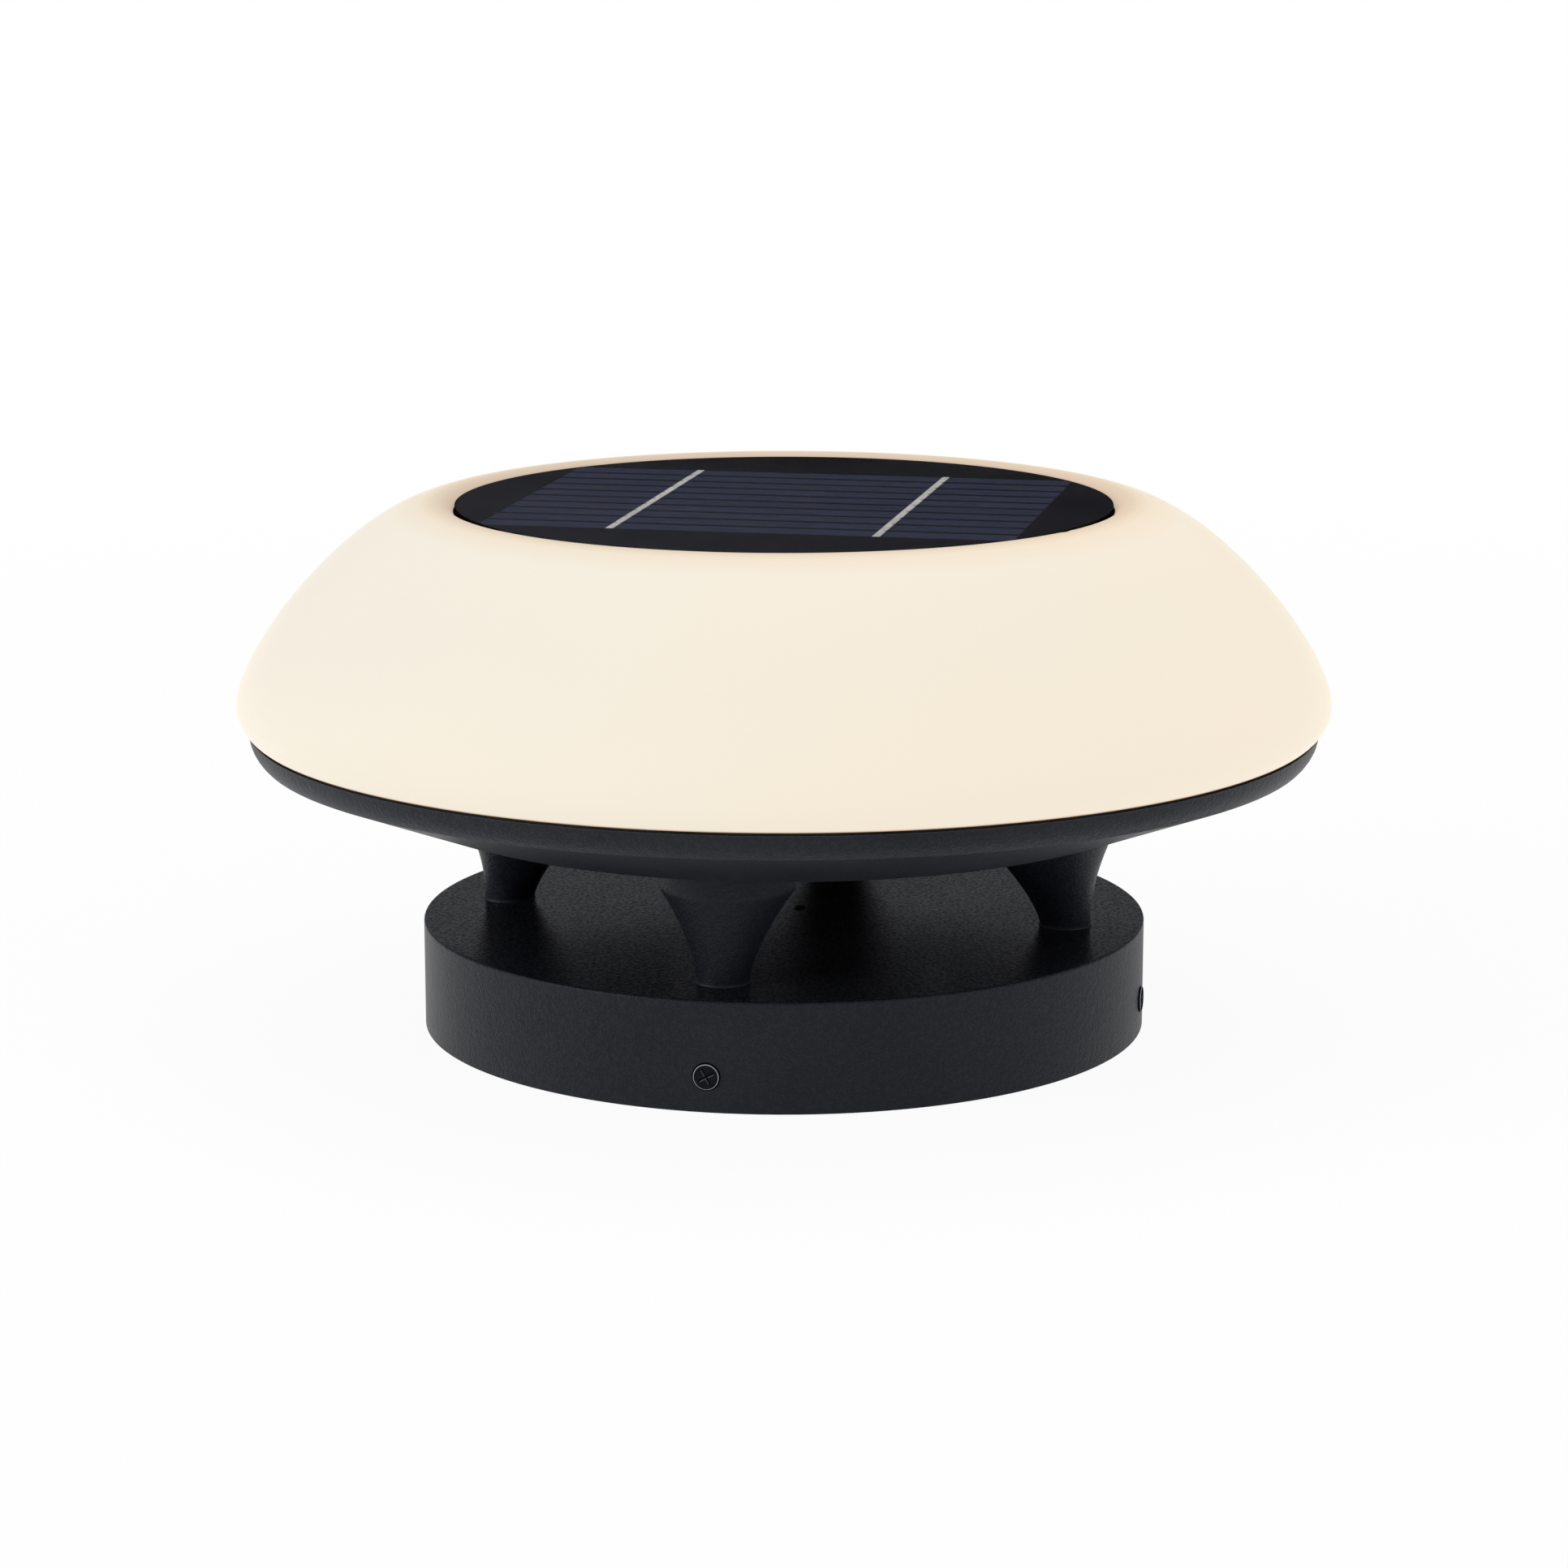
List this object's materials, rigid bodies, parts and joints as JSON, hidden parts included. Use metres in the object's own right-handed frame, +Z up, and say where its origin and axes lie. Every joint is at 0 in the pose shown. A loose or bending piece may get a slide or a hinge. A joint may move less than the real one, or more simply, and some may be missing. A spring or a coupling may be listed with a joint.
{
  "type": "solar pedestal light",
  "caption": "Low mushroom-shaped solar garden light: opal domed shade with a flush round solar panel, on flared legs over a round base.",
  "frame": {"origin": "on the ground at the centre of the base", "axes": "+Z up along the light's axis, -Y towards the front leg, +X towards the right leg"},
  "size_m": [0.219, 0.219, 0.1062],
  "materials": {
    "powder_coat": "cast aluminium, anthracite powder coat with a fine pebbled grain",
    "zinc_steel": "zinc-plated pressed steel",
    "black_steel": "black oxide",
    "bright_steel": "stainless steel",
    "opal_plastic": "satin opal moulding, lit from inside",
    "seal_rubber": "moulded silicone",
    "foam_adhesive": "double-sided foam tape",
    "carrier_plastic": "white moulding",
    "panel_black": "black solder mask under laminate",
    "solar_cell": "blue-black silicon cells with fine lines",
    "ribbon_metal": "tinned ribbon",
    "clear_film": "clear laminate film",
    "circuit_board": "green solder mask",
    "component_black": "moulded component bodies",
    "battery_wrap": "shrink sleeve",
    "holder_plastic": "black moulding",
    "nickel_strip": "nickel strip",
    "led_substrate": "white solder mask",
    "led_phosphor": "warm phosphor",
    "reflector_white": "white sheet",
    "switch_plastic": "black moulding",
    "button_rubber": "moulded rubber",
    "lead_insulation": "stranded lead with red sleeve"
  },
  "bodies": {
    "mount": {"mounting_plate": "zinc_steel"},
    "light": {"base_cover": "powder_coat", "leg_front": "powder_coat", "leg_right": "powder_coat", "leg_back": "powder_coat", "leg_left": "powder_coat", "tray": "powder_coat", "leg_foot_screws": "bright_steel", "leg_head_screws": "bright_steel", "carrier_screws": "bright_steel", "led_board_screws": "bright_steel", "board_screws": "bright_steel", "switch_nut": "bright_steel", "shade": "opal_plastic", "shade_gasket": "seal_rubber", "panel_gasket": "seal_rubber", "switch_seal": "seal_rubber", "lead_grommet": "seal_rubber", "panel_adhesive": "foam_adhesive", "panel_carrier": "carrier_plastic", "panel_board": "panel_black", "cell_strips": "solar_cell", "cell_ribbons": "ribbon_metal", "panel_film": "clear_film", "control_board": "circuit_board", "board_components": "component_black", "battery_cell": "battery_wrap", "battery_holder": "holder_plastic", "battery_contacts": "nickel_strip", "led_board": "led_substrate", "led_chips": "led_phosphor", "reflector": "reflector_white", "switch_housing": "switch_plastic", "led_leads": "lead_insulation", "switch_leads": "lead_insulation", "panel_leads": "lead_insulation", "battery_leads": "lead_insulation"},
    "set_screw_front": {"set_screw_front": "black_steel"},
    "set_screw_right": {"set_screw_right": "black_steel"},
    "set_screw_back": {"set_screw_back": "black_steel"},
    "set_screw_left": {"set_screw_left": "black_steel"},
    "switch_button": {"switch_button": "button_rubber"}
  },
  "joints": [
    {"name": "lift_off", "type": "slide", "parent": "mount", "child": "light", "axis": [0, 0, 1], "range_m": [0, 0.03]},
    {"name": "set_screw_front_travel", "type": "slide", "parent": "light", "child": "set_screw_front", "axis": [0, -1, 0], "range_m": [0, 0.006]},
    {"name": "set_screw_right_travel", "type": "slide", "parent": "light", "child": "set_screw_right", "axis": [1, 0, 0], "range_m": [0, 0.006]},
    {"name": "set_screw_back_travel", "type": "slide", "parent": "light", "child": "set_screw_back", "axis": [0, 1, 0], "range_m": [0, 0.006]},
    {"name": "set_screw_left_travel", "type": "slide", "parent": "light", "child": "set_screw_left", "axis": [-1, 0, 0], "range_m": [0, 0.006]},
    {"name": "button_press", "type": "slide", "parent": "light", "child": "switch_button", "axis": [0, 0, 1], "range_m": [0, 0.0015], "stiffness_N_per_m": 400, "springref_m": -0.002}
  ]
}
